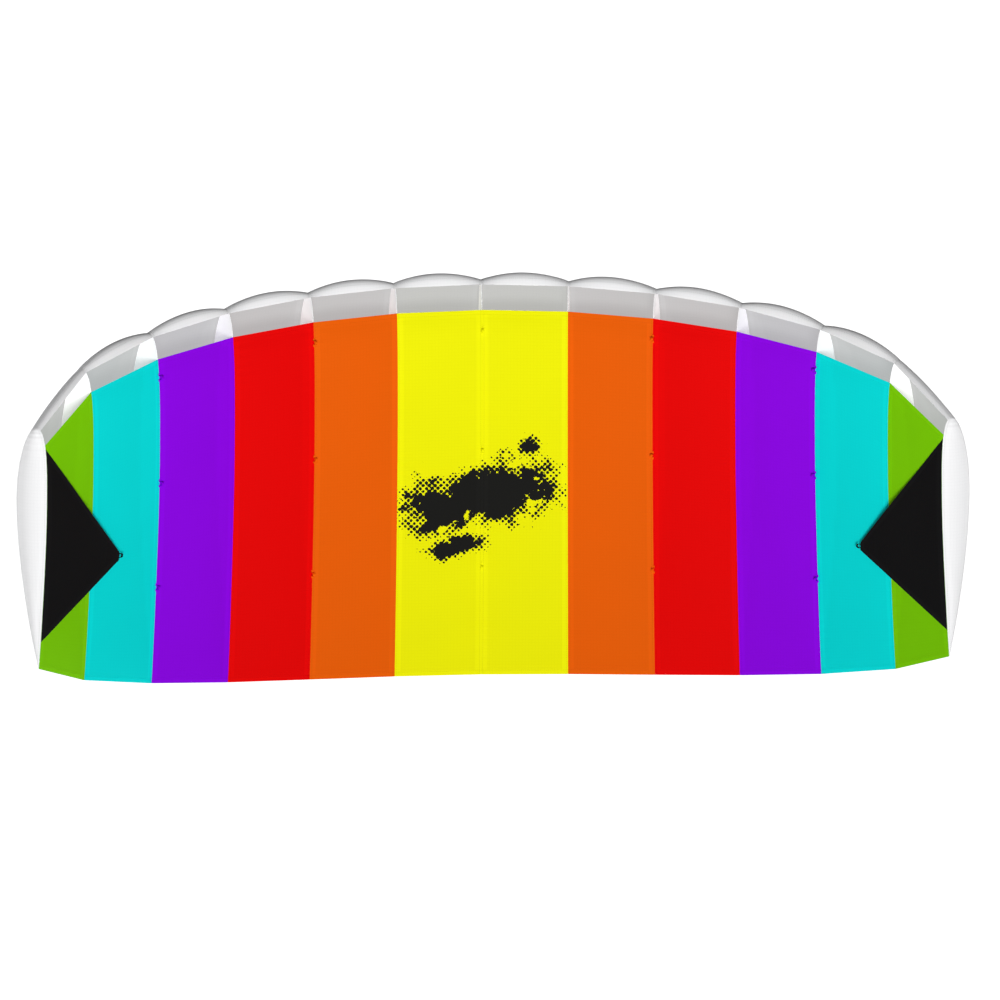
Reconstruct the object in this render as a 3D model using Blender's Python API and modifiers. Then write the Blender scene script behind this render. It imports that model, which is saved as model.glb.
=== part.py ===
"""Ram-air parafoil kite: twelve cells of cloth between thirteen ribs, bowed into an arc.

X runs along the span, Y points from the pilot's side to the top skin, and Z points from the
trailing edge to the leading edge. The origin is the hole of the centre front bridle loop,
where the kite is held. Ribs are counted from 0 in the centre to 6 at each tip, and cell k
lies between rib k - 1 and rib k. All sizes are in metres.
"""

import math

import bmesh
import bpy
from mathutils import Matrix, Vector

MM = 0.001

# Planform: the nose line drops and the tail line rises towards the tips.
CELLS_PER_SIDE = 6
CELL_WIDTH = 133.3 * MM
TIP_CELL_WIDTH = 117 * MM
ROOT_CHORD = 610.5 * MM
NOSE_DROP = 243.5 * MM  # semi-axis of the ellipse that the nose line follows
NOSE_ELLIPSE_CELLS = 6.31  # the other semi-axis, in cells
TAIL_RISE = 79 * MM
TAIL_POWER = 3.4

# Arc: how far rib i leans from the centre rib, in degrees, is LINEAR * i + CUBIC * i ** 3.
ARC_LINEAR = 6.6
ARC_CUBIC = 0.099

# Wing section: a cambered four-digit profile, whose thickness and camber are parts of the chord.
THICKNESS_ROOT = 0.16
THICKNESS_TIP = 0.14
CAMBER = 0.026
CAMBER_PLACE = 0.35
MOUTH_TOP = 0.0095  # the air intake runs along the underside between these parts of the chord
MOUTH_BOTTOM = 0.069

# Cloth: each layer is a plain shell that stays clear of the rib's edge.
CLOTH = 0.8 * MM
CLEARANCE = 0.3 * MM
SKIN_OFFSET = CLEARANCE + CLOTH / 2
BILLOW = 12 * MM
TIP_BILLOW_SHARE = 0.3  # the short tip cell is pulled nearly flat
TOP_STEPS, TOP_STRIPS = 15, 4
BOTTOM_STEPS, BOTTOM_STRIPS = 9, 2
PORT_PLACES = (0.24, 0.40, 0.55, 0.69)
PORT_SHARE = 0.29  # port radius as a part of the section's thickness there
PORT_SIDES = 12

# Seams flex by these angles, in degrees, about a line this part of the chord below the chord line.
FLATTEN, DEEPEN = 3, 5
HINGE_DEPTH = 0.027
RIB_GAP = 1.0 * MM

# Stabiliser flaps: triangles sewn along the tip seams, lying inwards over the bottom skin.
FLAP_REACH = 152 * MM
FLAP_ANGLE = 46  # degrees between the flap and the span line
FLAP_FROM_NOSE = 31 * MM
FLAP_FROM_TAIL = 41 * MM
FLAP_APEX = 0.62  # how far down the base the apex lies
FLAP_APEX_WIDTH = 12 * MM
FLAP_STAND_OFF = 21 * MM  # from the tip rib's chord line to the flap's hinge

# Bridle loops: folded tape on every second rib, in three rows along the chord.
LOOP_RIBS = (0, 2, 4)
LOOP_ROWS = {"front": 0.12, "middle": 0.42, "rear": 0.72}
LOOP_WIDTH = 7 * MM
LOOP_HEIGHT = 8.5 * MM
LOOP_TAPE = 4 * MM
LOOP_WALL = 1.6 * MM
LOOP_CORNER = 1.6 * MM
LOOP_GAP = 0.6 * MM

PANEL_COLOURS = (
    ("yellow", (228, 228, 5)),
    ("orange", (223, 91, 5)),
    ("red", (222, 3, 3)),
    ("purple", (131, 4, 214)),
    ("cyan", (5, 201, 200)),
    ("green", (111, 189, 6)),
)
WHITE, BLACK = (238, 238, 240), (22, 22, 24)
SIDES = {"left": -1, "right": 1}


def clear_scene():
    for old in list(bpy.data.objects):
        bpy.data.objects.remove(old, do_unlink=True)


def linear(channel):
    value = channel / 255
    return value / 12.92 if value <= 0.04045 else ((value + 0.055) / 1.055) ** 2.4


def material(name, colour, roughness=0.55):
    made = bpy.data.materials.new(name)
    made.use_nodes = True
    shader = made.node_tree.nodes["Principled BSDF"]
    rgba = (*(linear(channel) for channel in colour), 1)
    shader.inputs["Base Color"].default_value = rgba
    shader.inputs["Roughness"].default_value = roughness
    shader.inputs["Metallic"].default_value = 0
    made.diffuse_color = rgba
    return made


# ---- The wing section -------------------------------------------------------------------


def half_thickness(s):
    """Half the thickness at s of the chord, for a section whose thickness is 1."""
    return 5 * (
        0.2969 * math.sqrt(s) - 0.1260 * s - 0.3516 * s**2 + 0.2843 * s**3 - 0.1015 * s**4
    )


def camber_height(s):
    if s < CAMBER_PLACE:
        return CAMBER / CAMBER_PLACE**2 * (2 * CAMBER_PLACE * s - s * s)
    scale = CAMBER / (1 - CAMBER_PLACE) ** 2
    return scale * (1 - 2 * CAMBER_PLACE + 2 * CAMBER_PLACE * s - s * s)


def sweep_angle(s):
    """The sweep angle that lies at s of the chord: 0 is the nose and pi is the tail."""
    return math.acos(1 - 2 * s)


class Rib:
    """Rib number i on the right-hand side: its place, lean, chord and section."""

    def __init__(self, number, x, y):
        share = number / CELLS_PER_SIDE
        ellipse = math.sqrt(1 - (number / NOSE_ELLIPSE_CELLS) ** 2)
        self.number = number
        self.x, self.y = x, y
        self.lean = math.radians(ARC_LINEAR * number + ARC_CUBIC * number**3)
        self.nose_z = ROOT_CHORD - NOSE_DROP * (1 - ellipse)
        self.chord = self.nose_z - TAIL_RISE * share**TAIL_POWER
        self.thickness = THICKNESS_ROOT + (THICKNESS_TIP - THICKNESS_ROOT) * share**2

    def section(self, angle):
        """(z below the nose, height) of the outline. Angles above 0 are on the top side."""
        s = (1 - math.cos(angle)) / 2
        half = math.copysign(self.thickness * half_thickness(s), angle)
        return Vector((-s * self.chord, (camber_height(s) + half) * self.chord))

    def outward(self, angle):
        """The outline's outward normal, in the same plane. It is read just short of the tail."""
        step = 1e-4
        limit = math.pi - 0.02
        angle = max(-limit, min(limit, angle))
        along = self.section(angle + step) - self.section(angle - step)
        return Vector((-along.y, along.x)).normalized() * -1

    def offset(self, angle, distance):
        return self.section(angle) + self.outward(angle) * distance

    def away(self, side):
        """The direction from the pilot's side to the top skin, in the rib's plane."""
        return Vector((side * math.sin(self.lean), math.cos(self.lean), 0))

    def world(self, flat, side):
        """The point in space of a point in the rib's plane."""
        place = Vector((side * self.x, self.y, self.nose_z + flat.x))
        return place + self.away(side) * flat.y - HELD_POINT

    def hinge_height(self):
        return -HINGE_DEPTH * self.chord

    def hinge(self, side):
        """Where the seam's vertical axis crosses the middle of the chord."""
        return self.world(Vector((-self.chord / 2, self.hinge_height())), side)


def cell_width(cell):
    return TIP_CELL_WIDTH if cell == CELLS_PER_SIDE else CELL_WIDTH


def lay_out_ribs():
    """Ribs 0 to 6: each cell's chord line runs at the mean lean of its two ribs."""
    found = [Rib(0, 0, 0)]
    for number in range(1, CELLS_PER_SIDE + 1):
        last = found[-1]
        lean = math.radians(ARC_LINEAR * number + ARC_CUBIC * number**3)
        mean = (last.lean + lean) / 2
        width = cell_width(number)
        found.append(
            Rib(number, last.x + width * math.cos(mean), last.y - width * math.sin(mean))
        )
    return found


HELD_POINT = Vector((0, 0, 0))
RIBS = lay_out_ribs()


def loop_seat(rib, place):
    """(point in the rib's plane, outward normal) of the skin's outer face under a loop."""
    angle = -sweep_angle(place)
    gap = SKIN_OFFSET + CLOTH / 2 + LOOP_GAP
    return rib.offset(angle, gap), rib.outward(angle)


def loop_hole(rib, place):
    seat, normal = loop_seat(rib, place)
    return seat + normal * (LOOP_HEIGHT / 2)


HELD_POINT = RIBS[0].world(loop_hole(RIBS[0], LOOP_ROWS["front"]), 1)


# ---- Making pieces ----------------------------------------------------------------------


def hinge_frame(name, place, parent, collection):
    """An empty on a joint's axis, which carries the pieces of one section."""
    frame = bpy.data.objects.new(name, None)
    frame.empty_display_size = 0.03
    collection.objects.link(frame)
    frame["world"] = place
    frame.parent = parent
    frame.location = place - (Vector(parent["world"]) if parent else Vector())
    return frame


def hang(piece, frame, finish, collection):
    """Gives a piece its material and its section's empty."""
    collection.objects.link(piece)
    piece.parent = frame
    piece.data.materials.append(finish)
    return piece


def lofted_sheet(name, rows, frame, finish, collection):
    """A cloth panel: an open surface through rows of points, thickened evenly."""
    origin = Vector(frame["world"])
    cage = bmesh.new()
    grid = [[cage.verts.new(point - origin) for point in row] for row in rows]
    for row, following in zip(grid, grid[1:]):
        for column in range(len(row) - 1):
            near, far = row[column : column + 2], following[column : column + 2]
            cage.faces.new((near[0], near[1], far[1], far[0]))
    mesh = bpy.data.meshes.new(name)
    cage.to_mesh(mesh)
    cage.free()
    mesh.shade_smooth()
    panel = bpy.data.objects.new(name, mesh)
    thicken = panel.modifiers.new("cloth", "SOLIDIFY")
    thicken.thickness = CLOTH
    thicken.offset = 0
    return hang(panel, frame, finish, collection)


def flat_piece(name, outlines, thickness, matrix, frame, finish, collection):
    """A flat piece from closed outlines, the first its edge and the others its holes."""
    curve = bpy.data.curves.new(name, "CURVE")
    curve.dimensions = "2D"
    curve.fill_mode = "BOTH"
    curve.extrude = thickness / 2
    for outline in outlines:
        spline = curve.splines.new("POLY")
        spline.points.add(len(outline) - 1)
        for point, (across, up) in zip(spline.points, outline):
            point.co = (across, up, 0, 1)
        spline.use_cyclic_u = True
    piece = bpy.data.objects.new(name, curve)
    piece.matrix_basis = Matrix.Translation(-Vector(frame["world"])) @ matrix
    return hang(piece, frame, finish, collection)


def plane_matrix(place, x_axis, y_axis):
    """The matrix that lays a flat piece's x and y along two directions in space."""
    z_axis = x_axis.cross(y_axis)
    turn = Matrix((x_axis, y_axis, z_axis)).transposed().to_4x4()
    return Matrix.Translation(place) @ turn


# ---- Skins ------------------------------------------------------------------------------


def seam_gap(inner, flat):
    """How far a panel's inner edge stays from the rib, so that its section can swing."""
    if inner.number == 0:
        return CLEARANCE
    rise = flat.y - inner.hinge_height()
    angle = FLATTEN if rise > 0 else DEEPEN
    return RIB_GAP + abs(rise) * math.tan(math.radians(angle))


def billow_share(angle):
    """0 at the mouth's taut edge and at the tail, and 1 over the body of the top skin."""
    mouth = -sweep_angle(MOUTH_TOP)
    rising = min(1, (angle - mouth) / 0.2)
    falling = min(1, (math.pi - angle) / 1.2)
    return math.sin(math.pi / 2 * rising) * math.sin(math.pi / 2 * falling)


def skin_row(cell, side, angle, strips, billow):
    """Points across one cell, at one place along the section."""
    inner, outer = RIBS[cell - 1], RIBS[cell]
    flat_in, flat_out = inner.offset(angle, SKIN_OFFSET), outer.offset(angle, SKIN_OFFSET)
    start, end = inner.world(flat_in, side), outer.world(flat_out, side)
    first = seam_gap(inner, flat_in) / (end - start).length
    height = billow * (TIP_BILLOW_SHARE if cell == CELLS_PER_SIDE else 1)
    normal = inner.outward(angle)
    push = Vector((0, 0, normal.x)) + inner.away(side).lerp(outer.away(side), 0.5) * normal.y
    row = []
    for strip in range(strips + 1):
        share = first + (1 - first) * strip / strips
        rise = height * math.sin(math.pi * share)
        row.append(start.lerp(end, share) + push * rise)
    return row


def top_panel(cell, side, name, frame, finish, collection):
    first, last = -sweep_angle(MOUTH_TOP), math.pi
    rows = []
    for step in range(TOP_STEPS + 1):
        angle = first + (last - first) * step / TOP_STEPS
        rows.append(skin_row(cell, side, angle, TOP_STRIPS, BILLOW * billow_share(angle)))
    return lofted_sheet(name, rows, frame, finish, collection)


def bottom_panel(cell, side, name, frame, finish, collection):
    first, last = -sweep_angle(MOUTH_BOTTOM), -math.pi
    rows = []
    for step in range(BOTTOM_STEPS + 1):
        angle = first + (last - first) * step / BOTTOM_STEPS
        rows.append(skin_row(cell, side, angle, BOTTOM_STRIPS, 0))
    return lofted_sheet(name, rows, frame, finish, collection)


# ---- Ribs, flaps and loops --------------------------------------------------------------


def rib_outline(rib):
    """The section's outline, on the same points as the skins, from tail to tail."""
    mouth = sweep_angle(MOUTH_TOP)
    top = [-mouth + (math.pi + mouth) * step / TOP_STEPS for step in range(TOP_STEPS + 1)]
    lip = sweep_angle(MOUTH_BOTTOM)
    bottom = [-lip - (math.pi - lip) * step / BOTTOM_STEPS for step in range(BOTTOM_STEPS + 1)]
    angles = bottom[::-1] + [-(lip + mouth) / 2] + top
    return [rib.section(angle) for angle in angles]


def port_outlines(rib):
    """Round holes that let air pass from cell to cell."""
    found = []
    for place in PORT_PLACES:
        radius = 2 * rib.thickness * half_thickness(place) * rib.chord * PORT_SHARE
        centre = Vector((-place, camber_height(place))) * rib.chord
        turns = [2 * math.pi * side / PORT_SIDES for side in range(PORT_SIDES)]
        found.append(
            [centre + Vector((math.cos(turn), math.sin(turn))) * radius for turn in turns]
        )
    return found


def rib_piece(rib, side, name, frame, finish, collection):
    closed = rib.number == CELLS_PER_SIDE
    outlines = [rib_outline(rib)] + ([] if closed else port_outlines(rib))
    place = rib.world(Vector((0, 0)), side)
    matrix = plane_matrix(place, Vector((0, 0, 1)), rib.away(side))
    return flat_piece(name, outlines, CLOTH, matrix, frame, finish, collection)


def flap_axis(side):
    """A point on the flap's vertical axis, level with the tip rib's nose."""
    return RIBS[-1].world(Vector((0, -FLAP_STAND_OFF)), side)


def flap_inward(side):
    """The direction from the hinge to the apex at rest."""
    angle = math.radians(FLAP_ANGLE)
    return Vector((-side * math.cos(angle), math.sin(angle), 0))


def flap_apex_drop():
    """How far the apex lies below the tip rib's nose."""
    base = RIBS[-1].chord - FLAP_FROM_NOSE - FLAP_FROM_TAIL
    return FLAP_FROM_NOSE + base * FLAP_APEX


def flap_piece(side, name, frame, finish, collection):
    half = FLAP_APEX_WIDTH / 2
    apex = -flap_apex_drop()
    outline = [
        (0, -FLAP_FROM_NOSE),
        (0, FLAP_FROM_TAIL - RIBS[-1].chord),
        (FLAP_REACH, apex - half),
        (FLAP_REACH, apex + half),
    ]
    matrix = plane_matrix(flap_axis(side), flap_inward(side), Vector((0, 0, 1)))
    return flat_piece(name, [outline], CLOTH, matrix, frame, finish, collection)


def rounded_box(low, high, radius, sides=3):
    """A rectangle's outline with quarter-round corners."""
    points = []
    corners = ((high[0], high[1]), (low[0], high[1]), (low[0], low[1]), (high[0], low[1]))
    for quarter, (across, up) in enumerate(corners):
        centre_x = across - math.copysign(radius, across - (low[0] + high[0]) / 2)
        centre_y = up - math.copysign(radius, up - (low[1] + high[1]) / 2)
        for step in range(sides + 1):
            turn = math.pi / 2 * (quarter + step / sides)
            points.append(
                (centre_x + radius * math.cos(turn), centre_y + radius * math.sin(turn))
            )
    return points


def loop_piece(name, seat, outward, along, frame, finish, collection):
    """A loop of tape that stands outward from its seat, with its hole across the rib."""
    half = LOOP_WIDTH / 2
    edge = rounded_box((-half, 0), (half, LOOP_HEIGHT), LOOP_CORNER)
    inner = half - LOOP_WALL
    hole = rounded_box(
        (-inner, LOOP_WALL), (inner, LOOP_HEIGHT - LOOP_WALL), LOOP_CORNER * 0.6
    )
    matrix = plane_matrix(seat, along, outward)
    return flat_piece(name, [edge, hole], LOOP_TAPE, matrix, frame, finish, collection)


def rib_loop(rib, side, place, name, frame, finish, collection):
    """A bridle loop on the outer face of a bottom seam."""
    seat, flat = loop_seat(rib, place)
    outward = Vector((0, 0, flat.x)) + rib.away(side) * flat.y
    along = Vector((0, 0, -flat.y)) + rib.away(side) * flat.x
    return loop_piece(
        name, rib.world(seat, side), outward, along, frame, finish, collection
    )


def flap_loop(side, name, frame, finish, collection):
    """The loop at the end of a flap, in the flap's own plane."""
    inward = flap_inward(side)
    seat = flap_axis(side) + inward * (FLAP_REACH + CLEARANCE)
    seat.z -= flap_apex_drop()
    return loop_piece(name, seat, inward, Vector((0, 0, 1)), frame, finish, collection)


# ---- The kite ---------------------------------------------------------------------------


def build():
    clear_scene()
    collection = bpy.data.collections.new("parafoil_kite")
    bpy.context.scene.collection.children.link(collection)
    top_cloth = material("white_ripstop", WHITE, 0.6)
    rib_cloth = material("rib_cloth", WHITE, 0.65)
    black_cloth = material("black_ripstop", BLACK, 0.6)
    panels = [material(f"{name}_ripstop", colour) for name, colour in PANEL_COLOURS]

    centre = hinge_frame("centre_section_frame", Vector((0, 0, 0)), None, collection)
    rib_piece(RIBS[0], 1, "rib_centre", centre, rib_cloth, collection)
    for row, place in LOOP_ROWS.items():
        name = f"bridle_loop_centre_{row}"
        rib_loop(RIBS[0], 1, place, name, centre, panels[0], collection)

    for word, side in SIDES.items():
        frame = centre
        for cell in range(1, CELLS_PER_SIDE + 1):
            tag = f"{word}_{cell}"
            rib = RIBS[cell]
            if cell > 1:
                place = RIBS[cell - 1].hinge(side)
                frame = hinge_frame(f"{word}_section_{cell}_frame", place, frame, collection)
            cloth = panels[cell - 1]
            top_panel(cell, side, f"top_panel_{tag}", frame, top_cloth, collection)
            bottom_panel(cell, side, f"bottom_panel_{tag}", frame, cloth, collection)
            name = f"tip_rib_{word}" if cell == CELLS_PER_SIDE else f"rib_{tag}"
            rib_piece(rib, side, name, frame, rib_cloth, collection)
            if cell in LOOP_RIBS:
                for row, place in LOOP_ROWS.items():
                    name = f"bridle_loop_{tag}_{row}"
                    rib_loop(rib, side, place, name, frame, cloth, collection)
        hinge = hinge_frame(f"{word}_flap_frame", flap_axis(side), frame, collection)
        flap_piece(side, f"stabiliser_flap_{word}", hinge, black_cloth, collection)
        flap_loop(side, f"flap_loop_{word}", hinge, black_cloth, collection)


build()
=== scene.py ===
# %% [markdown]
# # A parafoil kite
#
# A ram-air kite is a wing sewn from cloth. Thirteen ribs give it its shape, a white skin covers the top,
# and twelve coloured panels cover the underside. Its front edge is left open between the two skins, so
# that the wind blows it up. Everything here is thin cloth, so the lesson is about surfaces: one formula
# places any point of either skin, grids are moved onto it, and the fine detail comes from small
# offsets along the surface's normal and from the finish.

import math

import bmesh
import bpy
import numpy as np
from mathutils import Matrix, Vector, noise


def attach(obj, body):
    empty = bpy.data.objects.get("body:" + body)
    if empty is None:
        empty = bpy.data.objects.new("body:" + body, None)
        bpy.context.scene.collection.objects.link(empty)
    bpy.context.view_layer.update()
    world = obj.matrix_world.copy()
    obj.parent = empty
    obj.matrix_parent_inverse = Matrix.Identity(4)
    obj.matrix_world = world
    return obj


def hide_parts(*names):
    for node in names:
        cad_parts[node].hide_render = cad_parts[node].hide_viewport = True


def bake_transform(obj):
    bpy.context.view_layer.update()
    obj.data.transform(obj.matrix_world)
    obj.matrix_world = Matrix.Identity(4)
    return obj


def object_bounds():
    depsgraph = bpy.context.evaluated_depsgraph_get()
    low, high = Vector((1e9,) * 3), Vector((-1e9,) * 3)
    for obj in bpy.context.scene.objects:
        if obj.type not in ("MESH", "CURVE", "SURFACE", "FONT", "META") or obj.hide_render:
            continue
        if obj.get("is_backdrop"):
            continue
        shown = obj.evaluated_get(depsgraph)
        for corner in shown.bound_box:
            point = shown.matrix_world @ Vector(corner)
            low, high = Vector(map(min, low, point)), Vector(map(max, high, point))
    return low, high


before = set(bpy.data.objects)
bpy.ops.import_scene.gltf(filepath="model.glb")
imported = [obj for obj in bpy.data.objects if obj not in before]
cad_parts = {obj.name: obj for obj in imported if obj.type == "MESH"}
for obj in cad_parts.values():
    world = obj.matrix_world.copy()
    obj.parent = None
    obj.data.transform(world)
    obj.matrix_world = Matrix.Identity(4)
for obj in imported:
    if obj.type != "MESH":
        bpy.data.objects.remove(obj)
cad_box = [list(corner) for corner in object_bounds()]
MM = 0.001

# %% [markdown]
# ## Where the camera stands
#
# A large kite is looked at from far away with a long lens, which keeps its seams nearly parallel. The
# camera stands 14 m off, a little to the left and 10 degrees above, and looks at a point near the middle
# of the wing. Placing it first means that every later choice is judged in the final view.

# %% The camera
AZIMUTH, ELEVATION = math.radians(-4.12), math.radians(10)
DISTANCE = 14
LENS = 330.7
FAR_END = 500
AIM = Vector((0.0285, 0.0286, -0.2657))


def direction(azimuth, elevation):
    """The direction from the kite towards something at this azimuth and elevation."""
    level = math.cos(elevation)
    return Vector((math.sin(azimuth) * level, -math.cos(azimuth) * level, math.sin(elevation)))


lens = bpy.data.cameras.new("camera")
lens.lens = LENS
lens.clip_end = FAR_END
camera = bpy.data.objects.new("camera", lens)
bpy.context.scene.collection.objects.link(camera)
toward_camera = direction(AZIMUTH, ELEVATION)
camera.location = AIM + toward_camera * DISTANCE
camera.rotation_euler = (-toward_camera).to_track_quat("-Z", "Y").to_euler()
bpy.context.scene.camera = camera
print("camera at", [round(value, 3) for value in camera.location])

# %% [markdown]
# ## The studio
#
# Cloth shows its colour best in broad, soft light. One large soft key light stands in front of the kite,
# nearly level with it, and the world gives a weak, even fill, so the rounded nose falls off to grey. Two
# weaker soft lights rake over the back from either side, so that the vaults of the top skin show from
# behind. The floor and the backdrop are pale and give off light of their own. They are hidden from
# diffuse rays, so they don't wash the kite out from below.

# %% Floor, backdrop and lights
FLOOR_DROP = 1.2
STAGE_SIZE = 40
STAGE_GLOW = 1.1
FILL, FILL_ABOVE = 0.33, 0.02  # the even light from all round, and from straight above


def glowing(name):
    """A plain white material that gives off light."""
    made = bpy.data.materials.new(name)
    made.use_nodes = True
    shader = made.node_tree.nodes["Principled BSDF"]
    shader.inputs["Base Color"].default_value = (0.9, 0.9, 0.9, 1)
    shader.inputs["Roughness"].default_value = 0.9
    shader.inputs["Emission Color"].default_value = (1, 1, 1, 1)
    shader.inputs["Emission Strength"].default_value = STAGE_GLOW
    return made


def stage_piece(name, shape):
    """Turns a bmesh into a part of the studio, which lights no cloth and is marked as backdrop."""
    mesh = bpy.data.meshes.new(name)
    shape.to_mesh(mesh)
    shape.free()
    piece = bpy.data.objects.new(name, mesh)
    mesh.materials.append(glowing(name))
    bpy.context.scene.collection.objects.link(piece)
    piece.visible_diffuse = False
    piece.visible_glossy = False
    piece.visible_shadow = False
    piece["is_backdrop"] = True


def floor_shape():
    shape = bmesh.new()
    bmesh.ops.create_circle(shape, cap_ends=True, segments=96, radius=STAGE_SIZE)
    bmesh.ops.translate(shape, verts=shape.verts, vec=(0, 0, cad_box[0][2] - FLOOR_DROP))
    return shape


def backdrop_shape():
    shape = bmesh.new()
    bmesh.ops.create_uvsphere(shape, u_segments=48, v_segments=24, radius=STAGE_SIZE * 0.99)
    bmesh.ops.reverse_faces(shape, faces=shape.faces)
    return shape


def soft_sun(name, azimuth, elevation, strength, spread):
    """A distant light. spread is the angle that it fills in the sky."""
    light = bpy.data.lights.new(name, "SUN")
    light.energy = strength
    light.angle = math.radians(spread)
    lamp = bpy.data.objects.new(name, light)
    way = direction(math.radians(azimuth), math.radians(elevation))
    lamp.rotation_euler = (-way).to_track_quat("-Z", "Y").to_euler()
    bpy.context.scene.collection.objects.link(lamp)


stage_piece("floor", floor_shape())
stage_piece("backdrop", backdrop_shape())
soft_sun("key", 0, -3, 2.6, 16)
soft_sun("back_light", 222, -4, 1.9, 20)
soft_sun("side_light", 118, -4, 1.0, 20)
world = bpy.data.worlds.new("studio")
world.use_nodes = True
sky, links = world.node_tree.nodes, world.node_tree.links
place = sky.new("ShaderNodeTexCoord")
parts = sky.new("ShaderNodeSeparateXYZ")
fill = sky.new("ShaderNodeMapRange")
for name, value in {"From Min": 0, "From Max": 1, "To Min": FILL, "To Max": FILL_ABOVE}.items():
    fill.inputs[name].default_value = value
links.new(place.outputs["Generated"], parts.inputs["Vector"])
links.new(parts.outputs["Z"], fill.inputs["Value"])
links.new(fill.outputs["Result"], sky["Background"].inputs["Strength"])
sky["Background"].inputs["Color"].default_value = (1, 1, 1, 1)
bpy.context.scene.world = world
bpy.context.scene.view_settings.view_transform = "Standard"
print("studio: three soft lights, fill", FILL)

# %% [markdown]
# ## Reading the ribs
#
# The frame already holds thirteen flat ribs, and they fix the whole wing. A rib leans outwards by some
# angle, its tail end lies on its chord line, and its height is its chord. Reading those from the nodes,
# and repeating only the formula of the wing section, keeps the cloth exactly on the frame.

# %% The wing section
CELLS = 6
THICKNESS_ROOT, THICKNESS_TIP = 0.16, 0.14
CAMBER, CAMBER_PLACE = 0.026, 0.35
MOUTH_TOP, MOUTH_BOTTOM = 0.0095, 0.069
OUTLINE_START = 0.00019  # the CAD outline starts this part of the chord below the true nose
SIDES = {"left": -1, "right": 1}


def half_thickness(s):
    """Half the section's thickness at s of the chord. It closes to nothing at the tail."""
    open_tail = 0.2969 * math.sqrt(s) - 0.1260 * s - 0.3516 * s**2 + 0.2843 * s**3 - 0.1015 * s**4
    return 5 * (open_tail - 0.0021 * s**12)


def camber_height(s):
    if s < CAMBER_PLACE:
        return CAMBER / CAMBER_PLACE**2 * (2 * CAMBER_PLACE * s - s * s)
    scale = CAMBER / (1 - CAMBER_PLACE) ** 2
    return scale * (1 - 2 * CAMBER_PLACE + 2 * CAMBER_PLACE * s - s * s)


def sweep_angle(s):
    """The sweep angle that lies at s of the chord: 0 is the nose and pi is the tail."""
    return math.acos(1 - 2 * s)


def section(angle, thickness):
    """(distance below the nose, height) in chords. Angles above 0 are on the top side."""
    s = (1 - math.cos(angle)) / 2
    return s, camber_height(s) + math.copysign(thickness * half_thickness(s), angle)


class Rib:
    """One rib, as read from its CAD node."""

    def __init__(self, node, number):
        points = np.array([vertex.co[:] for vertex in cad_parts[node].data.vertices])
        flat = points[:, :2] - points[:, :2].mean(0)
        across = np.linalg.svd(flat, full_matrices=False)[2][0]
        across *= math.copysign(1, across[1])
        low, high = points[:, 2].min(), points[:, 2].max()
        tail = points[points[:, 2] < low + 0.5 * MM].mean(0)
        self.node, self.number = node, number
        self.away = Vector((across[0], across[1], 0))
        self.nose = (high - OUTLINE_START * low) / (1 - OUTLINE_START)
        self.chord = self.nose - low
        self.base = Vector((tail[0], tail[1], 0))
        share = (number / CELLS) ** 2
        self.thickness = THICKNESS_ROOT + (THICKNESS_TIP - THICKNESS_ROOT) * share

    def at(self, drop, height):
        """A point in the rib's plane: drop below the nose, and height off the chord line."""
        return self.base + Vector((0, 0, self.nose - drop)) + self.away * height

    def outward(self, angle):
        """The outline's outward normal, as (along the chord upwards, along away)."""
        step = 1e-4
        angle = max(0.02 - math.pi, min(math.pi - 0.02, angle))
        drop_a, height_a = section(angle - step, self.thickness)
        drop_b, height_b = section(angle + step, self.thickness)
        normal = Vector((height_b - height_a, drop_b - drop_a))
        return normal.normalized()

    def outline(self, angle, offset=0.0):
        drop, height = section(angle, self.thickness)
        normal = self.outward(angle)
        return self.at(drop * self.chord - normal.x * offset, height * self.chord + normal.y * offset)

    def normal(self, angle):
        flat = self.outward(angle)
        return Vector((0, 0, flat.x)) + self.away * flat.y


def rib_node(word, number):
    if number == 0:
        return "rib_centre"
    return f"tip_rib_{word}" if number == CELLS else f"rib_{word}_{number}"


RIBS = {word: [Rib(rib_node(word, n), n) for n in range(CELLS + 1)] for word in SIDES}
for rib in RIBS["right"]:
    lean = math.degrees(math.atan2(rib.away.x, rib.away.y))
    print(f"{rib.node}: lean {lean:.1f} degrees, chord {rib.chord / MM:.0f} mm")

# %% [markdown]
# ## One formula for both skins
#
# Between two ribs the air pushes the cloth out, so each cell is a shallow vault with a sharp valley at
# each seam. A point of the skin is found in three steps. It lies on the straight line between the two
# ribs' outlines, it is lifted by the vault, and then by the small things that make cloth look sewn:
# the puckers that a tight seam draws into the panel beside it, the folded hem, and a faint unevenness.
# Every one of them fades to nothing at the seam, so that neighbours meet exactly.

# %% The surface of the skins
SKIN_GAP = 0.3 * MM  # from the rib's edge to the middle of the cloth
CELL_WIDTH = 133.3 * MM
TOP_BILLOW, BOTTOM_BILLOW = 12 * MM, 2.2 * MM
TIP_BILLOW_SHARE = 0.3  # the short tip cell is pulled nearly flat
BILLOW_STARTS, BILLOW_ENDS = 0.2, 1.2  # the sweep over which the vault rises, and over which it falls
PUCKER = {"top": 0.55 * MM, "bottom": 0.32 * MM}
PUCKER_WAVE, PUCKER_REACH = 15 * MM, 7 * MM
UNEVEN = 0.5 * MM
HEM, HEM_STEP = 8 * MM, 0.4 * MM
ROW_STEP, ROW_SAMPLES = 2.6 * MM, 600
SWEEPS = {"top": (-sweep_angle(MOUTH_TOP), math.pi), "bottom": (-sweep_angle(MOUTH_BOTTOM), -math.pi)}


def smooth(value):
    value = max(0.0, min(1.0, value))
    return value * value * (3 - 2 * value)


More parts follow.
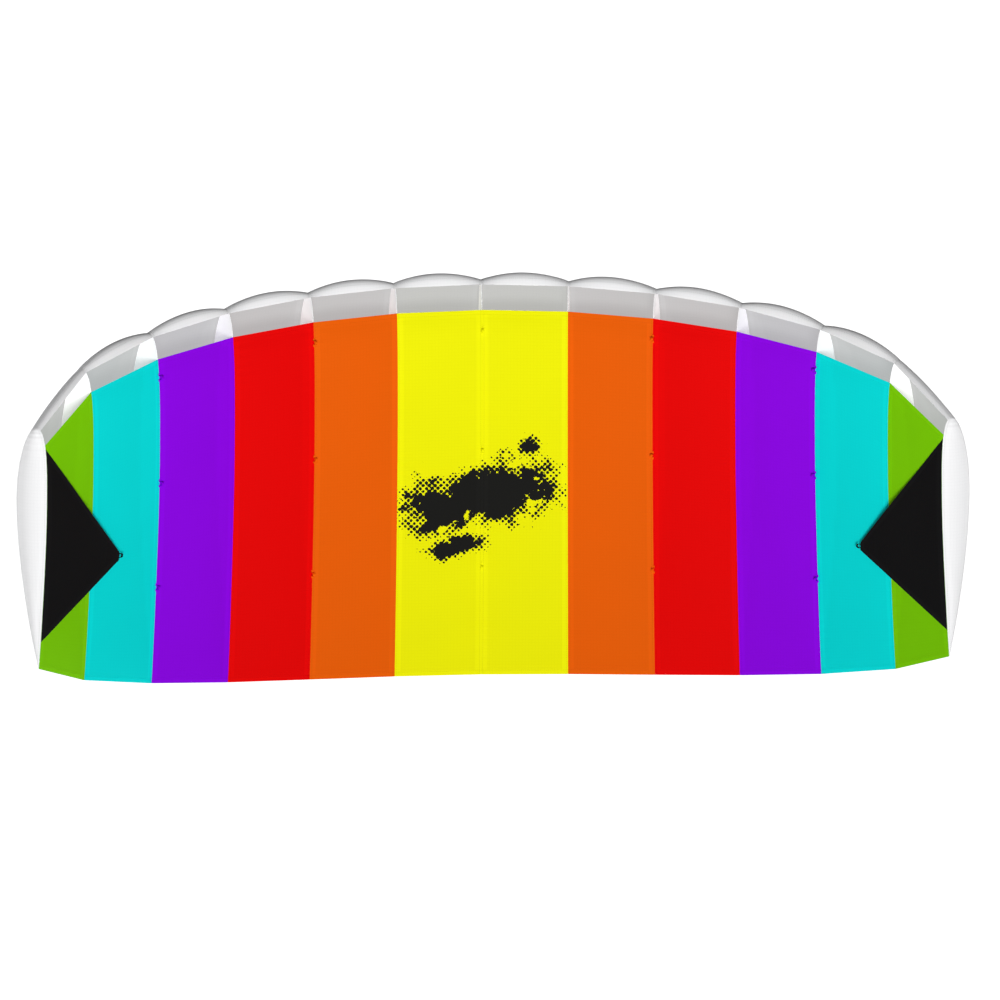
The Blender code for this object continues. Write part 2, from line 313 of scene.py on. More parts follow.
def billow_share(skin, angle):
    """0 at the mouth's taut edge and at the tail, and 1 over the body of the skin."""
    start, end = SWEEPS[skin]
    rising = min(1, abs(angle - start) / BILLOW_STARTS)
    falling = min(1, abs(end - angle) / BILLOW_ENDS)
    return math.sin(math.pi / 2 * rising) * math.sin(math.pi / 2 * falling)


class Row:
    """One row of the skin of a cell, running straight from its inner rib to its outer rib."""

    def __init__(self, inner, outer, skin, angle, travelled):
        self.start = inner.outline(angle, SKIN_GAP)
        self.end = outer.outline(angle, SKIN_GAP)
        self.width = (self.end - self.start).length
        self.push = (inner.normal(angle) + outer.normal(angle)).normalized()
        billow = TOP_BILLOW if skin == "top" else BOTTOM_BILLOW
        tip_share = TIP_BILLOW_SHARE if outer.number == CELLS else 1
        self.rise = billow_share(skin, angle) * billow * tip_share
        half = half_thickness((1 - math.cos(angle)) / 2)
        # the width of a painted paler band on the inner half, where the rib shows through the cloth
        self.painted_rib_band_width = 2 * inner.thickness * half * inner.chord * abs(inner.away.x)
        self.travelled = travelled  # how far along the section, from the mouth's edge


def cloth_rows(inner, outer, skin):
    """The rows of one cell's skin, evenly spaced from the mouth's edge to the tail."""
    start, end = SWEEPS[skin]
    angles = [start + (end - start) * step / ROW_SAMPLES for step in range(ROW_SAMPLES + 1)]
    middle = [(inner.outline(angle) + outer.outline(angle)) / 2 for angle in angles]
    lengths = [0.0]
    for point, following in zip(middle, middle[1:]):
        lengths.append(lengths[-1] + (following - point).length)
    count = round(lengths[-1] / ROW_STEP)
    wanted = [lengths[-1] * row / count for row in range(count + 1)]
    placed = np.interp(wanted, lengths, angles)
    return [Row(inner, outer, skin, angle, far) for angle, far in zip(placed, wanted)]


def pucker(skin, seam, far, seed):
    """How far a seam's gathers lift the cloth, at a distance from the seam and far along it."""
    wander = noise.noise((far * 18, seed, 0)) * 2.6
    strength = 0.5 + 0.9 * noise.noise((far * 11, seed, 7)) + 0.35 * noise.noise((far * 45, seed, 3))
    wave = math.sin(2 * math.pi * far / PUCKER_WAVE + wander)
    near = seam / PUCKER_REACH
    return PUCKER[skin] * max(0, strength) * wave * near * math.exp(1 - near)


def unevenness(across, far, seed):
    """Soft waves that no tight panel is quite without."""
    return UNEVEN * noise.noise((across * 14, far * 7, seed))


print("skins:", {skin: f"{math.degrees(a):.0f} to {math.degrees(b):.0f}" for skin, (a, b) in SWEEPS.items()})

# %% [markdown]
# ## Cloth finishes
#
# Ripstop is a thin, tight weave with a thicker thread every few millimetres, which shows as a faint
# square grid. Its coating gives a dull sheen. Each panel is sewn to its neighbour with a folded
# allowance, which lies double and so looks a little paler, with a row of stitches close to the seam.
# The pattern has to follow the cloth, so it reads a UV map in metres and an attribute that holds the
# distance to the seam and to the nearest hem, and the share of a painted paler band where a rib shows
# through. Arithmetic on sockets is written as Python expressions.

# %% Shader arithmetic
class Wire:
    """A node's output, with the sums that the finishes use. Each adds a Math node."""

    def __init__(self, finish, socket):
        self.finish, self.socket = finish, socket

    def math(self, operation, *values):
        sockets = dict(enumerate(values))
        return self.finish.node("ShaderNodeMath", {"operation": operation}, sockets)

    def __add__(self, other):
        return self.math("ADD", self, other)

    def __radd__(self, other):
        return self.math("ADD", other, self)

    def __sub__(self, other):
        return self.math("SUBTRACT", self, other)

    def __rsub__(self, other):
        return self.math("SUBTRACT", other, self)

    def __mul__(self, other):
        return self.math("MULTIPLY", self, other)

    def __truediv__(self, other):
        return self.math("DIVIDE", self, other)

    def __pow__(self, other):
        return self.math("POWER", self, other)

    def __lt__(self, other):
        return self.math("LESS_THAN", self, other)

    def __gt__(self, other):
        return self.math("GREATER_THAN", self, other)

    def most(self, other):
        return self.math("MAXIMUM", self, other)

    def least(self, other):
        return self.math("MINIMUM", self, other)

    def size(self):
        return self.math("ABSOLUTE", self)

    def part(self):
        return self.math("FRACT", self)

    def step(self, low, high):
        """0 below low, 1 above high, and smooth between them. It falls where low is above high."""
        settings = {"interpolation_type": "SMOOTHSTEP"}
        if low > high:
            return 1 - self.step(high, low)
        sockets = {"Value": self, "From Min": low, "From Max": high}
        return self.finish.node("ShaderNodeMapRange", settings, sockets)


class Finish:
    """One material, and the nodes that make it."""

    def __init__(self, name, roughness, specular):
        self.material = bpy.data.materials.new(name)
        self.material.use_nodes = True
        self.tree = self.material.node_tree
        self.shader = self.tree.nodes["Principled BSDF"]
        self.shader.inputs["Roughness"].default_value = roughness
        self.shader.inputs["Specular IOR Level"].default_value = specular
        self.shader.inputs["Emission Strength"].default_value = 1.0
        self.shader.inputs["Emission Color"].default_value = (0, 0, 0, 1)

    def join(self, value, socket):
        if isinstance(value, Wire):
            self.tree.links.new(value.socket, socket)
        elif hasattr(value, "__len__"):
            socket.default_value = (*value, 1) if len(socket.default_value) == 4 else value
        else:
            socket.default_value = value

    def node(self, kind, settings, sockets, output=0):
        made = self.tree.nodes.new(kind)
        for name, value in settings.items():
            setattr(made, name, value)
        for name, value in sockets.items():
            self.join(value, made.inputs[name])
        return Wire(self, made.outputs[output])

    def split(self, vector):
        """The three numbers of a vector."""
        first = self.node("ShaderNodeSeparateXYZ", {}, {"Vector": vector})
        return [Wire(self, output) for output in first.socket.node.outputs]

    def noise(self, place, scale, detail=2.0):
        sockets = {"Vector": place, "Scale": scale, "Detail": detail}
        return self.node("ShaderNodeTexNoise", {}, sockets)

    def mix(self, factor, colour_a, colour_b):
        settings = {"data_type": "RGBA"}
        return self.node("ShaderNodeMix", settings, {0: factor, 6: colour_a, 7: colour_b}, 2)

    def shade(self, colour, tone):
        """A colour made lighter or darker by a number that varies over the surface."""
        return self.node("ShaderNodeVectorMath", {"operation": "SCALE"}, {0: colour, 3: tone})

    def bump(self, height, distance):
        sockets = {"Height": height, "Distance": distance, "Strength": 1.0}
        return self.node("ShaderNodeBump", {}, sockets)


print("shader arithmetic ready")

# %% Ripstop
GRID_PITCH, THREAD = 5 * MM, 0.55 * MM
ALLOWANCE = 9 * MM
STITCH_PITCH, STITCH_WIDTH, STITCH_SHARE = 3.2 * MM, 0.7 * MM, 0.62
SEAM_INSET, HEM_INSET = 2.5 * MM, 1.2 * MM
INK = (0.010, 0.010, 0.009)
# painted shade: the inner side of the white top skin is coloured this dark grey, and an even painted glow
# lifts it
INNER_PAINTED_GREY = (0.12, 0.12, 0.12)
PAINTED_SHADE_PER_METRE = 0.24  # painted shade: how much darker the cloth is made, for each metre from the mouth
ROUGHNESS, SHEEN = 0.7, 0.04
EDGE_SOFT, HEM_SOFT = 0.4 * MM, 0.3 * MM  # how softly a double strip ends
# the last of these is painted light: how much paler the cloth is made where a rib shows through it
CLOUDY, STITCH_TONE, WEAVE_TONE, PAINTED_RIB_LIGHT = 0.04, 0.14, 0.04, 0.035
BUMP = 0.08 * MM


def linear(*channels):
    """A colour as the shader wants it, from its channels between 0 and 255."""
    shares = [channel / 255 for channel in channels]
    return tuple(c / 12.92 if c <= 0.04045 else ((c + 0.055) / 1.055) ** 2.4 for c in shares)


def thread_lines(place):
    """1 on the thick threads that run across a direction."""
    near = ((place / GRID_PITCH).part() - 0.5).size() * GRID_PITCH
    return near.step(THREAD, 0.2 * THREAD)


def stitches(beside, along, inset):
    """1 on a row of stitches that runs along, inset from an edge that is beside it."""
    on_line = (beside - inset).size() < STITCH_WIDTH / 2
    return on_line * ((along / STITCH_PITCH).part() < STITCH_SHARE)


def ripstop(name, colour, print_on=None, strip=0.05, thread_tone=0.03, painted_glow=0.0, painted_inner_glow=0.0):
    """Coated ripstop. print_on(finish, across, along) gives the share of black ink on it, and the
    glows are painted light: emission that stands in for light through the cloth, on either side and on its
    inner side only.
    strip and thread_tone say how much a seam's double strip and the thick threads stand out."""
    cloth = Finish(name, ROUGHNESS, SHEEN)
    uv = cloth.node("ShaderNodeUVMap", {"uv_map": "cloth"}, {})
    across, along, _ = cloth.split(uv)
    edges = cloth.node("ShaderNodeAttribute", {"attribute_name": "edge"}, {}, 1)
    seam, hem, painted_rib_band = cloth.split(edges)
    grid = thread_lines(across).most(thread_lines(along))
    sewn = stitches(seam, along, SEAM_INSET).most(stitches(hem, across, HEM - HEM_INSET))
    double = seam.step(ALLOWANCE + EDGE_SOFT, ALLOWANCE - EDGE_SOFT)
    double = double.most(hem.step(HEM + HEM_SOFT, HEM - HEM_SOFT))
    cloudy = cloth.noise(uv, 9.0, 3.0)
    weave = cloth.noise(uv, 1400.0, 1.0)
    tone = 0.98 + cloudy * CLOUDY + double * strip - grid * thread_tone
    tone = tone - sewn * STITCH_TONE + (weave - 0.5) * WEAVE_TONE
    # painted light and shade: paler where a rib shows through the cloth, and darker for each metre towards
    # the tail
    tone = tone + painted_rib_band * PAINTED_RIB_LIGHT - along * PAINTED_SHADE_PER_METRE
    base = cloth.shade(colour, tone)
    if print_on:
        base = cloth.mix(print_on(cloth, across, along), base, cloth.shade(INK, tone))
    # painted light and shade: the inner side is coloured dark grey and gives off an even painted glow, in
    # place of the dim light inside the wing
    if painted_inner_glow:
        inside = cloth.node("ShaderNodeAttribute", {"attribute_name": "inner_side"}, {}, 2)
        cloth.join(cloth.shade((painted_inner_glow,) * 3, inside * tone), cloth.shader.inputs["Emission Color"])
        base = cloth.mix(inside, base, INNER_PAINTED_GREY)
    # painted light: the cloth gives off a faint glow of its own
    if painted_glow:
        cloth.shader.inputs["Emission Color"].default_value = (painted_glow, painted_glow, painted_glow, 1)
    cloth.join(base, cloth.shader.inputs["Base Color"])
    cloth.join(ROUGHNESS + (weave - 0.5) * 0.2 - double * 0.05, cloth.shader.inputs["Roughness"])
    height = weave * 0.25 + grid * 0.5 - sewn * 1.2 + cloudy * 3.0
    cloth.join(cloth.bump(height, BUMP), cloth.shader.inputs["Normal"])
    return cloth.material


# %% [markdown]
# ## The printed splatter
#
# The two yellow panels share one print: a splash of black ink across the centre seam, with halftone dots
# at its ragged rim. It is an abstract splash, made by joining smooth fields: three broad ellipses and
# two small drops, each roughened with noise. Where the field is high the ink is solid, and where it is
# low a grid of dots shrinks with it, as a halftone screen does.

# %% The splatter
DOT_PITCH = 6.4 * MM
BLOTS = (
    # from the centre seam and down from the mouth's edge; half sizes; tilt in degrees; strength
    ((-6, 288), (104, 40), -12, 1.0),
    ((-62, 304), (54, 40), -6, 0.85),
    ((46, 276), (60, 44), -14, 0.9),
    ((70, 208), (13, 15), 0, 0.6),
    ((-40, 362), (36, 14), -10, 0.62),
)


def blob(across, along, centre, half, tilt):
    """1 in the middle of a tilted ellipse, 0 on its edge, and below 0 outside it. Sizes are in mm."""
    right, down = across - centre[0] * MM, along - centre[1] * MM
    turn = math.radians(tilt)
    x = (right * math.cos(turn) + down * math.sin(turn)) / (half[0] * MM)
    y = (down * math.cos(turn) - right * math.sin(turn)) / (half[1] * MM)
    return 1 - (x * x + y * y) ** 0.5


def splatter(cloth, across, along):
    """The share of ink at a place on the yellow panels."""
    place = cloth.node("ShaderNodeCombineXYZ", {}, {0: across, 1: along})
    fine = cloth.noise(place, 75.0, 5.0) - 0.5
    ragged = cloth.noise(place, 26.0, 4.0) - 0.5
    coarse = cloth.noise(place, 10.0, 2.0) - 0.5
    field = -1.0
    for centre, half, tilt, strength in BLOTS:
        reach = blob(across, along, centre, half, tilt) * strength
        field = reach if field == -1.0 else field.most(reach)
    field = field + fine * 1.1 + ragged * 1.5 + coarse * 0.5
    solid = field.step(0.14, 0.18)
    first = ((across + along) / (DOT_PITCH * 1.414)).part() - 0.5
    second = ((across - along) / (DOT_PITCH * 1.414)).part() - 0.5
    dot = (first * first + second * second) ** 0.5
    room = ((field + 0.42) * 0.95).least(0.62)
    drops = cloth.node("ShaderNodeTexVoronoi", {}, {"Vector": place, "Scale": 110.0})
    drop = drops < ((field + 0.85).most(0) * 0.2).least(0.26)
    return solid.most((dot < room) * (room > 0.14) * (coarse > -0.08)).most(drop)


# %% The finishes of this kite
PANELS = (
    ("yellow", (236, 235, 3)),
    ("orange", (230, 93, 4)),
    ("red", (228, 3, 3)),
    ("purple", (138, 4, 226)),
    ("cyan", (5, 220, 219)),
    ("green", (126, 209, 6)),
)
WHITE = linear(240, 240, 241)
finishes = {}
for colour_name, channels in PANELS:
    printed = splatter if colour_name == "yellow" else None
    finishes[colour_name] = ripstop(f"{colour_name}_ripstop", linear(*channels), printed)
# painted light and shade: the top skin's inner side is painted grey and glows evenly
finishes["white"] = ripstop("white_ripstop", linear(234, 234, 235), strip=0.03, painted_inner_glow=0.43)
# painted light: the ribs and the tips give off a faint glow of their own
finishes["rib"] = ripstop("rib_cloth", WHITE, strip=0.02, painted_glow=0.27)
finishes["tip"] = ripstop("tip_cloth", WHITE, strip=0.02, painted_glow=0.03)
finishes["black"] = ripstop("black_ripstop", linear(20, 20, 21), strip=0.2, thread_tone=0.1)
print("finishes:", ", ".join(finishes))

# %% [markdown]
# ## The skins
#
# Each cell's skin is made in two halves that meet along the middle of the cell. A seam is a joint of the
# kite, and each half goes with one seam: the inner half with the inner seam, the outer half with the
# outer seam. A half at the centre seam or at the tip seam is attached to that section's body.
# A half is a grid, moved onto the surface, with columns that crowd towards the seam, where the puckers
# are. A Solidify modifier gives the cloth its thickness.

# %% Attaching pieces, and the cloth's thickness
CLOTH = 0.45 * MM


def section_body(word, cell):
    return "centre_section" if cell == 1 else f"{word}_section_{cell}"


def sew_to(piece, word, seam):
    """Attaches a piece to the centre body at seam 0 or to the tip section's body at the last seam, and only
    bakes its transform at the seams between. Seam 0 is in the centre, and the last is at the tip.
    """
    if seam == 0:
        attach(piece, "centre_section")
    elif seam == CELLS:
        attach(piece, section_body(word, CELLS))
    else:
        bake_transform(piece)


def add_piece(name, shape, material, thickness=CLOTH):
    """Turns a bmesh into a piece of cloth with a thickness. Its outer face stays where it is, its
    narrow rim is sharp, and an attribute says which points are on its inner side."""
    mesh = bpy.data.meshes.new(name)
    shape.to_mesh(mesh)
    shape.free()
    mesh.shade_smooth()
    mesh.materials.append(material)
    piece = bpy.data.objects.new(name, mesh)
    bpy.context.scene.collection.objects.link(piece)
    wall = piece.modifiers.new("cloth thickness", "SOLIDIFY")
    wall.thickness = thickness
    wall.offset = -1
    outer_count = len(mesh.vertices)
    applied = piece.evaluated_get(bpy.context.evaluated_depsgraph_get())
    piece.data = bpy.data.meshes.new_from_object(applied)
    piece.modifiers.clear()
    piece.data.set_sharp_from_angle(angle=math.radians(40))
    inner = piece.data.attributes.new("inner_side", "FLOAT", "POINT")
    inner.data.foreach_set("value", [float(n >= outer_count) for n in range(len(piece.data.vertices))])
    return piece


def cloth_grid(columns, rows):
    """A grid with a UV layer, an edge layer, and the column and row of each vertex."""
    shape = bmesh.new()
    shape.loops.layers.uv.new("cloth")
    shape.verts.layers.float_vector.new("edge")
    bmesh.ops.create_grid(shape, x_segments=columns, y_segments=rows, size=1)
    cells = {}
    for vertex in shape.verts:
        column = round((vertex.co.x + 1) / 2 * columns)
        row = round((vertex.co.y + 1) / 2 * rows)
        cells[vertex] = (column, row)
    return shape, cells


def face_outwards(shape, outward):
    """Turns the faces over if most of them look away from a direction."""
    shape.normal_update()
    total = sum((face.normal * face.calc_area() for face in shape.faces), Vector())
    if total.dot(outward) < 0:
        bmesh.ops.reverse_faces(shape, faces=shape.faces)


def write_uv(shape, places):
    """Writes each vertex's place on the flat cloth, in metres, into the UV layer."""
    layer = shape.loops.layers.uv["cloth"]
    for face in shape.faces:
        for corner in face.loops:
            corner[layer].uv = places[corner.vert]


print("cloth helpers ready")

# %% Halves of the skins
HALF_COLUMNS = 13
LAST_COLUMN = 1 * MM  # the width of the strip in the middle of the cell
SEAM_CALM, HEM_CALM, HEM_TAUT = 20 * MM, 25 * MM, 12 * MM  # where the waves reach full size


def column_distances(width):
    """Distances from the seam to the middle of the cell, closest at both ends."""
    graded = [width * (column / (HALF_COLUMNS - 1)) ** 1.5 for column in range(HALF_COLUMNS)]
    return [*graded[:-1], width - LAST_COLUMN, width]


def hem_step(from_hem):
    """The folded hem stands a little proud, and ends in a soft step."""
    return HEM_STEP * smooth((HEM + 1.2 * MM - from_hem) / (1.6 * MM))


def skin_half(word, cell, skin, half):
    """The inner or outer half of one cell's top or bottom skin."""
    side = SIDES[word]
    inner, outer = RIBS[word][cell - 1], RIBS[word][cell]
    rows = cloth_rows(inner, outer, skin)
    seam = cell - 1 if half == "inner" else cell
    shape, cells = cloth_grid(HALF_COLUMNS, len(rows) - 1)
    edge = shape.verts.layers.float_vector["edge"]
    seed = 10 * seam * side + (3 if half == "inner" else 5) + (0.5 if skin == "top" else 0)
    length = rows[-1].travelled
    places = {}
    for vertex, (column, number) in cells.items():
        row = rows[number]
        distance = column_distances(row.width / 2)[column]
        share = distance / row.width if half == "inner" else 1 - distance / row.width
        from_hem = min(row.travelled, length - row.travelled)
        lift = row.rise * 4 * share * (1 - share)
        fade = smooth(distance / SEAM_CALM) * smooth(from_hem / HEM_CALM)
        across = distance if half == "inner" else row.width - distance
        lift += pucker(skin, distance, row.travelled, seed) * smooth(from_hem / HEM_TAUT)
        lift += unevenness(across + cell, row.travelled, side * 5) * fade
        lift += hem_step(from_hem) * smooth(distance / (4 * MM))
        vertex.co = row.start.lerp(row.end, share) + row.push * lift
        # painted light: the share of a paler band beside the inner seam, where the rib shows through the
        # cloth
        painted_rib_band = smooth((row.painted_rib_band_width - distance) / (4 * MM)) if half == "inner" else 0
        vertex[edge] = (distance, from_hem, painted_rib_band)
        places[vertex] = (side * (across + (cell - 1) * CELL_WIDTH), row.travelled)
    face_outwards(shape, Vector((0, 1 if skin == "top" else -1, 0)))
    write_uv(shape, places)
    colour = PANELS[cell - 1][0]
    finish = "white" if skin == "top" else colour
    piece = add_piece(f"{skin}_skin_{word}_{cell}_{half}", shape, finishes[finish])
    sew_to(piece, word, seam)
    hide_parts(f"{skin}_panel_{word}_{cell}")
    width = sum(row.width for row in rows) / len(rows) / 2
    return width, length


for word in SIDES:
    for cell in range(1, CELLS + 1):
        for skin in SWEEPS:
            for half in ("inner", "outer"):
                width, length = skin_half(word, cell, skin, half)
        print(f"{word} cell {cell}: half width {width / MM:.0f} mm, underside {length / MM:.0f} mm long")

# %% [markdown]
# ## The ribs
#
# A rib is a flat piece of the same white cloth, cut to the wing section, with round ports that let the
# air level out between the cells. Its outline and its ports are circles moved into place and filled
# together, so the ports stay open. An inner rib is held by the seams on both skins; the centre rib is
# attached to the centre section's body.

# %% Inner ribs
RIB_POINTS, PORT_POINTS = 150, 40
PORTS = (0.24, 0.40, 0.55, 0.69)
PORT_SHARE = 0.29
RIB_INSET = 0.1 * MM


def circle(shape, segments):
    """Adds a circle and returns its vertices with their turns."""
    made = bmesh.ops.create_circle(shape, cap_ends=False, segments=segments, radius=1)
    return [(vertex, math.atan2(vertex.co.y, vertex.co.x)) for vertex in made["verts"]]


def rib_shape(rib, word):
    """A flat rib with open ports, and the cut's flat area."""
    shape = bmesh.new()
    shape.loops.layers.uv.new("cloth")
    edge = shape.verts.layers.float_vector.new("edge")
    places = {}
    for vertex, turn in circle(shape, RIB_POINTS):
        drop, height = section(turn, rib.thickness)
        vertex.co = rib.outline(turn, -RIB_INSET)
        vertex[edge] = (0, 1, 0)
        places[vertex] = (height * rib.chord, drop * rib.chord)
    for port in PORTS:
        radius = 2 * rib.thickness * half_thickness(port) * rib.chord * PORT_SHARE
        for vertex, turn in circle(shape, PORT_POINTS):
            drop = port * rib.chord + radius * math.cos(turn)
            height = camber_height(port) * rib.chord + radius * math.sin(turn)
            vertex.co = rib.at(drop, height)
            vertex[edge] = (1, 1, 0)
            places[vertex] = (height, drop)
    bmesh.ops.triangle_fill(shape, edges=shape.edges[:], use_beauty=True)
    face_outwards(shape, Vector((SIDES[word], 0, 0)))
    write_uv(shape, places)
    return shape, sum(face.calc_area() for face in shape.faces)


def rib_size(rib):
    """The flat width and length of a rib. The camber makes it a little wider than it is thick."""
    return 1.02 * rib.thickness * rib.chord, rib.chord


def inner_rib(word, number):
    rib = RIBS[word][number]
    shape, area = rib_shape(rib, word)
    name = "rib_cloth_centre" if number == 0 else f"rib_cloth_{word}_{number}"
    piece = add_piece(name, shape, finishes["rib"])
    sew_to(piece, word, number)
    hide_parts(rib.node)
    rib_size(rib)
    return area


inner_rib("right", 0)
for word in SIDES:
    for number in range(1, CELLS):
        area = inner_rib(word, number)
        print(f"rib {word} {number}: {area * 1e4:.0f} square centimetres")

# %% [markdown]
# ## The tips
#
# The last rib has no ports, because it closes the wing. The air inside pushes it out into a low dome,
# which is drawn tight at the nose and at the tail. Its grid runs from the nose to the tail one way and from
# the underside to the top the other way, and both collapsed ends are merged into single points.

# %% Tip ribs
TIP_DOME = 7 * MM
TIP_ROWS, TIP_COLUMNS = 130, 18
TIP_FILL = 0.69  # the part of its width times length that a tip rib fills


def tip_rib(word):
    side, rib = SIDES[word], RIBS[word][CELLS]
    outwards = Vector((side * rib.away.y, -side * rib.away.x, 0))
    shape, cells = cloth_grid(TIP_COLUMNS, TIP_ROWS)
    edge = shape.verts.layers.float_vector["edge"]
    places = {}
    for vertex, (column, row) in cells.items():
        angle = max(1e-4, math.pi * row / TIP_ROWS)
        share = column / TIP_COLUMNS
        low, high = rib.outline(-angle, SKIN_GAP), rib.outline(angle, SKIN_GAP)
        across = (high - low).length
        beside = min(share, 1 - share) * across
        dome = TIP_DOME * 4 * share * (1 - share) * min(1, across / (30 * MM))
        gather = pucker("top", beside, row / TIP_ROWS * rib.chord * 1.05, side * 40)
        soft = unevenness(across * share, row / TIP_ROWS * rib.chord, 60 * side)
        lift = dome + (gather + soft * smooth(beside / (12 * MM))) * min(1, across / (20 * MM))
        vertex.co = low.lerp(high, share) + outwards * lift
        vertex[edge] = (beside, 1, 0)
        places[vertex] = (across * (share - 0.5), rib.nose - vertex.co.z)
    write_uv(shape, places)
    bmesh.ops.remove_doubles(shape, verts=shape.verts, dist=0.05 * MM)
    face_outwards(shape, outwards)
    piece = add_piece(f"tip_rib_cloth_{word}", shape, finishes["tip"])
    sew_to(piece, word, CELLS)
    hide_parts(rib.node)
    width, length = rib_size(rib)
    TIP_FILL * width * length


for word in SIDES:
    tip_rib(word)
print("tips: dome", TIP_DOME / MM, "mm")

# %% [markdown]
# ## The stabiliser flaps
#
# A black triangle of cloth is sewn along each tip seam and is drawn inwards over the green and cyan
# panels by its line. The line pulls on its point only, so every thread from the curved seam to the point
# is straight: the flap is a ruled surface between the two. Its free edges are hemmed, and a doubled
# patch spreads the pull of the line at the point.

# %% Stabiliser flaps
FLAP_BEND = 22 * MM
FLAP_PATCH = 30 * MM
FLAP_ROWS, FLAP_COLUMNS = 110, 70
FLAP_SLANT, FLAP_FILL = 1.06, 0.53  # the curved seam's extra reach, and the part of the rectangle filled


def flap_corners(word):
    """The flap's four corners, read from the CAD node: base top, base bottom, point bottom, point top."""
    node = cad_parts[f"stabiliser_flap_{word}"]
    points = [vertex.co.copy() for vertex in node.data.vertices]
    inner = min(points, key=lambda p: abs(p.x)).x
    near = [p for p in points if abs(p.x - inner) < 3 * MM]
    base = [p for p in points if abs(p.x - inner) > 60 * MM]
    ends = []
    for group, pick in ((base, max), (base, min), (near, min), (near, max)):
        height = pick(p.z for p in group)
        level = [p for p in group if abs(p.z - height) < 0.1 * MM]
        ends.append(sum(level, Vector()) / len(level))
    return ends


def tip_seam(rib, height):
    """The point of the tip's bottom seam at a height in space."""
    s = max(0.0, min(1.0, (rib.nose - height) / rib.chord))
    return rib.outline(-sweep_angle(s), 1.0 * MM)


def stabiliser_flap(word):
    side, rib = SIDES[word], RIBS[word][CELLS]
    base_top, base_bottom, point_bottom, point_top = flap_corners(word)
    inward = (point_top - base_top).xy.to_3d().normalized()
    reach = (point_top - base_top).xy.length
    facing = Vector((side * inward.y, -side * inward.x, 0))
    facing = facing if facing.y < 0 else -facing
    shape, cells = cloth_grid(FLAP_COLUMNS, FLAP_ROWS)
    edge = shape.verts.layers.float_vector["edge"]
    places = {}
    slope_top = (point_top - base_top).length
    for vertex, (column, row) in cells.items():
        along, far = row / FLAP_ROWS, (column / FLAP_COLUMNS) ** 1.15
        height = base_top.z + (base_bottom.z - base_top.z) * along
        place = tip_seam(rib, height).lerp(point_top.lerp(point_bottom, along), far)
        length = (base_top.z - base_bottom.z) * (1 - far) + (point_top.z - point_bottom.z) * far
        from_hem = min(along, 1 - along) * length * 0.8
        from_point = (1 - far) * reach
        patch = smooth((FLAP_PATCH - from_point) / (1.5 * MM))
        hem = smooth((HEM + 0.8 * MM - from_hem) / (1.6 * MM)) * smooth(far * 12)
        wave = 1.2 * MM * noise.noise((far * 2.2, along * 2.0, 9 * side)) * smooth(far * 3)
        place += facing * (0.4 * MM * max(patch, hem) + wave)
        vertex.co = place
        vertex[edge] = (far * reach, min(from_hem, from_point + 1.5 * MM), 0)
        places[vertex] = (far * reach, along * slope_top)
    face_outwards(shape, facing)
    write_uv(shape, places)
    piece = add_piece(f"stabiliser_flap_cloth_{word}", shape, finishes["black"])
    hinge = (base_top + base_bottom) / 2
    hinge - inward * 1 * MM
    hinge + inward * FLAP_BEND
    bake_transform(piece)
    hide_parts(f"stabiliser_flap_{word}")
    height = base_top.z - base_bottom.z
    width = reach * FLAP_SLANT
    FLAP_FILL * width * height
    return reach, height


for word in SIDES:
    reach, height = stabiliser_flap(word)
    print(f"{word} flap: {reach / MM:.0f} by {height / MM:.0f} mm")

# %% [markdown]
# ## The bridle loops
#
# The lines of a kite tie to short loops of woven tape, sewn into the bottom seams in three rows, and
# to one at the point of each flap. A loop is a narrow grid bent along a path: a foot that lies on the
# seam, up one side, round the crown and down again.

# %% Loops of tape
LOOP_RIBS = (0, 2, 4)
LOOP_ROWS = {"front": 0.12, "middle": 0.42, "rear": 0.72}
LOOP_HEIGHT, LOOP_HALF, LOOP_TAPE = 8.3 * MM, 2.4 * MM, 3.6 * MM
TAPE = 0.7 * MM
LOOP_STEPS, LOOP_COLUMNS = 72, 6
LOOP_LENGTH = 40 * MM  # the tape's pattern is laid out over this length
FOOT, FLARE = 2.5 * MM, 1.2 * MM


def loop_path(share, foot):
    """(along, up) of the tape's middle line, for share from 0 at one end to 1 at the other."""
    flare = FLARE if foot else 0.0
    straight = LOOP_HEIGHT - LOOP_HALF - flare
    legs = (foot, math.pi / 2 * flare, straight, math.pi * LOOP_HALF, straight, math.pi / 2 * flare, foot)
    far = share * sum(legs)
    mirrored = far > sum(legs) / 2
    if mirrored:
        far = sum(legs) - far
    if far < foot:
        along, up = -LOOP_HALF - flare - foot + far, 0.0
    elif far < sum(legs[:2]):
        turn = (far - foot) / flare
        along, up = -LOOP_HALF - flare + flare * math.sin(turn), flare - flare * math.cos(turn)
    elif far < sum(legs[:3]):
        along, up = -LOOP_HALF, flare + far - sum(legs[:2])
    else:
        turn = (far - sum(legs[:3])) / LOOP_HALF
        along, up = -LOOP_HALF * math.cos(turn), flare + straight + LOOP_HALF * math.sin(turn)
    return (-along if mirrored else along), up


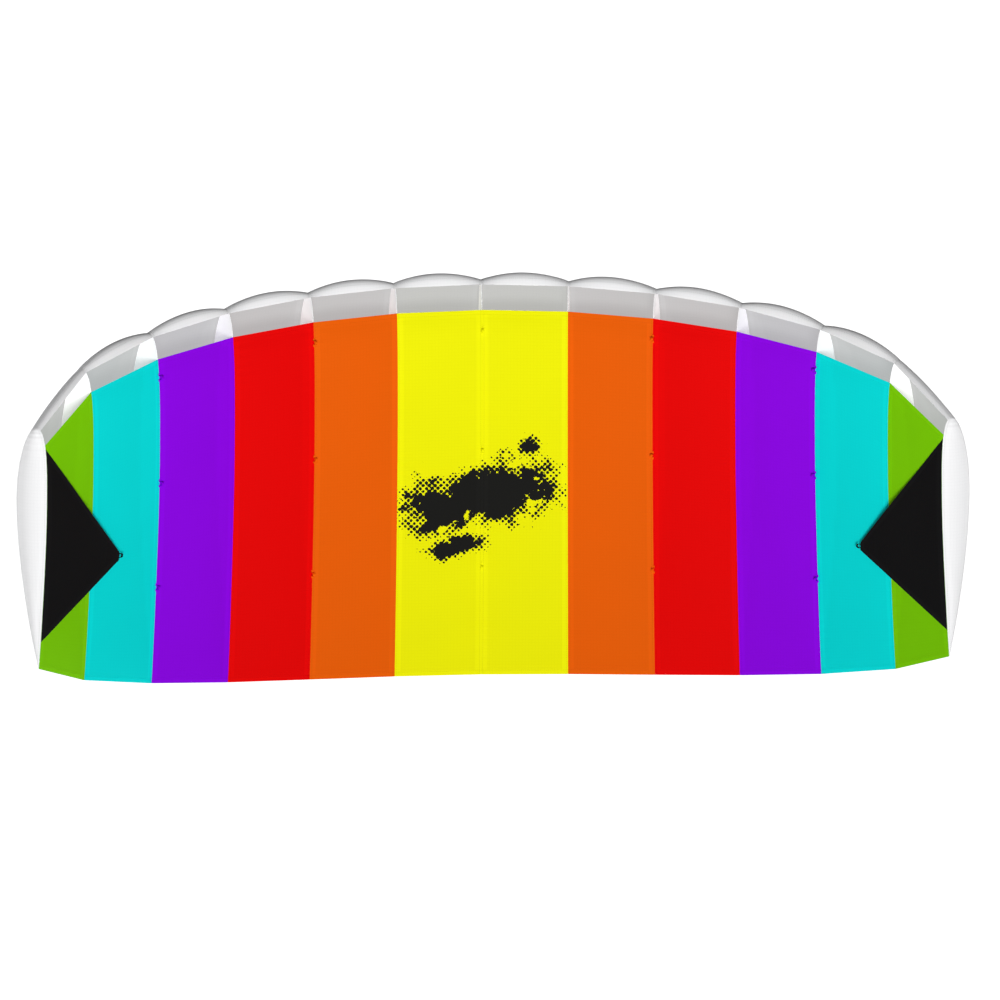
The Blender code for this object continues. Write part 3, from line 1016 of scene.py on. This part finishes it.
def loop_shape(seat, outward, along, foot):
    """A bent band of tape that stands on its seat."""
    across = outward.cross(along)
    shape, cells = cloth_grid(LOOP_COLUMNS, LOOP_STEPS)
    edge = shape.verts.layers.float_vector["edge"]
    places = {}
    for vertex, (column, row) in cells.items():
        forward, up = loop_path(row / LOOP_STEPS, foot)
        beside = (column / LOOP_COLUMNS - 0.5) * LOOP_TAPE
        vertex.co = seat + along * forward + outward * up + across * beside
        vertex[edge] = (1, LOOP_TAPE / 2 - abs(beside), 0)
        places[vertex] = (beside, row / LOOP_STEPS * LOOP_LENGTH)
    write_uv(shape, places)
    return shape


def tape_loop(tag, node, colour, seat, outward, along, foot=FOOT):
    shape = loop_shape(seat, outward, along, foot)
    piece = add_piece(f"tape_loop_{tag}", shape, finishes[colour], TAPE)
    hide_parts(node)
    return piece


for word in SIDES:
    for number in LOOP_RIBS:
        if number == 0 and word == "left":
            continue
        rib = RIBS[word][number]
        tag = "centre" if number == 0 else f"{word}_{number}"
        for row, place in LOOP_ROWS.items():
            angle = -sweep_angle(place)
            outward = rib.normal(angle)
            along = Vector((0, 0, -outward.dot(rib.away))) + rib.away * outward.z
            seat = rib.outline(angle, SKIN_GAP + TAPE)
            colour = PANELS[max(number, 1) - 1][0]
            piece = tape_loop(f"{tag}_{row}", f"bridle_loop_{tag}_{row}", colour, seat, outward, along)
            sew_to(piece, word, number)
    base_top, base_bottom, point_bottom, point_top = flap_corners(word)
    inward = (point_top - base_top).xy.to_3d().normalized()
    seat = (point_top + point_bottom) / 2 - inward * 1.5 * MM
    upright = Vector((0, 0, 1))
    piece = tape_loop(f"flap_{word}", f"flap_loop_{word}", "black", seat, inward, upright, 0)
    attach(piece, f"{word}_flap")
print("loops: 17, each", LOOP_HEIGHT / MM, "mm high")

# %% [markdown]
# ## Sizes
#
# The cloth may stand a little proud of the solids that it replaces, and no more. How far its box
# grows past the box of the solids is printed for each axis.

# %% Sizes
visual_box = [list(corner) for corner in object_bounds()]
for axis in range(3):
    grown = [cad_box[0][axis] - visual_box[0][axis], visual_box[1][axis] - cad_box[1][axis]]
    print("XYZ"[axis], "grows by", [round(value / MM, 1) for value in grown], "mm")
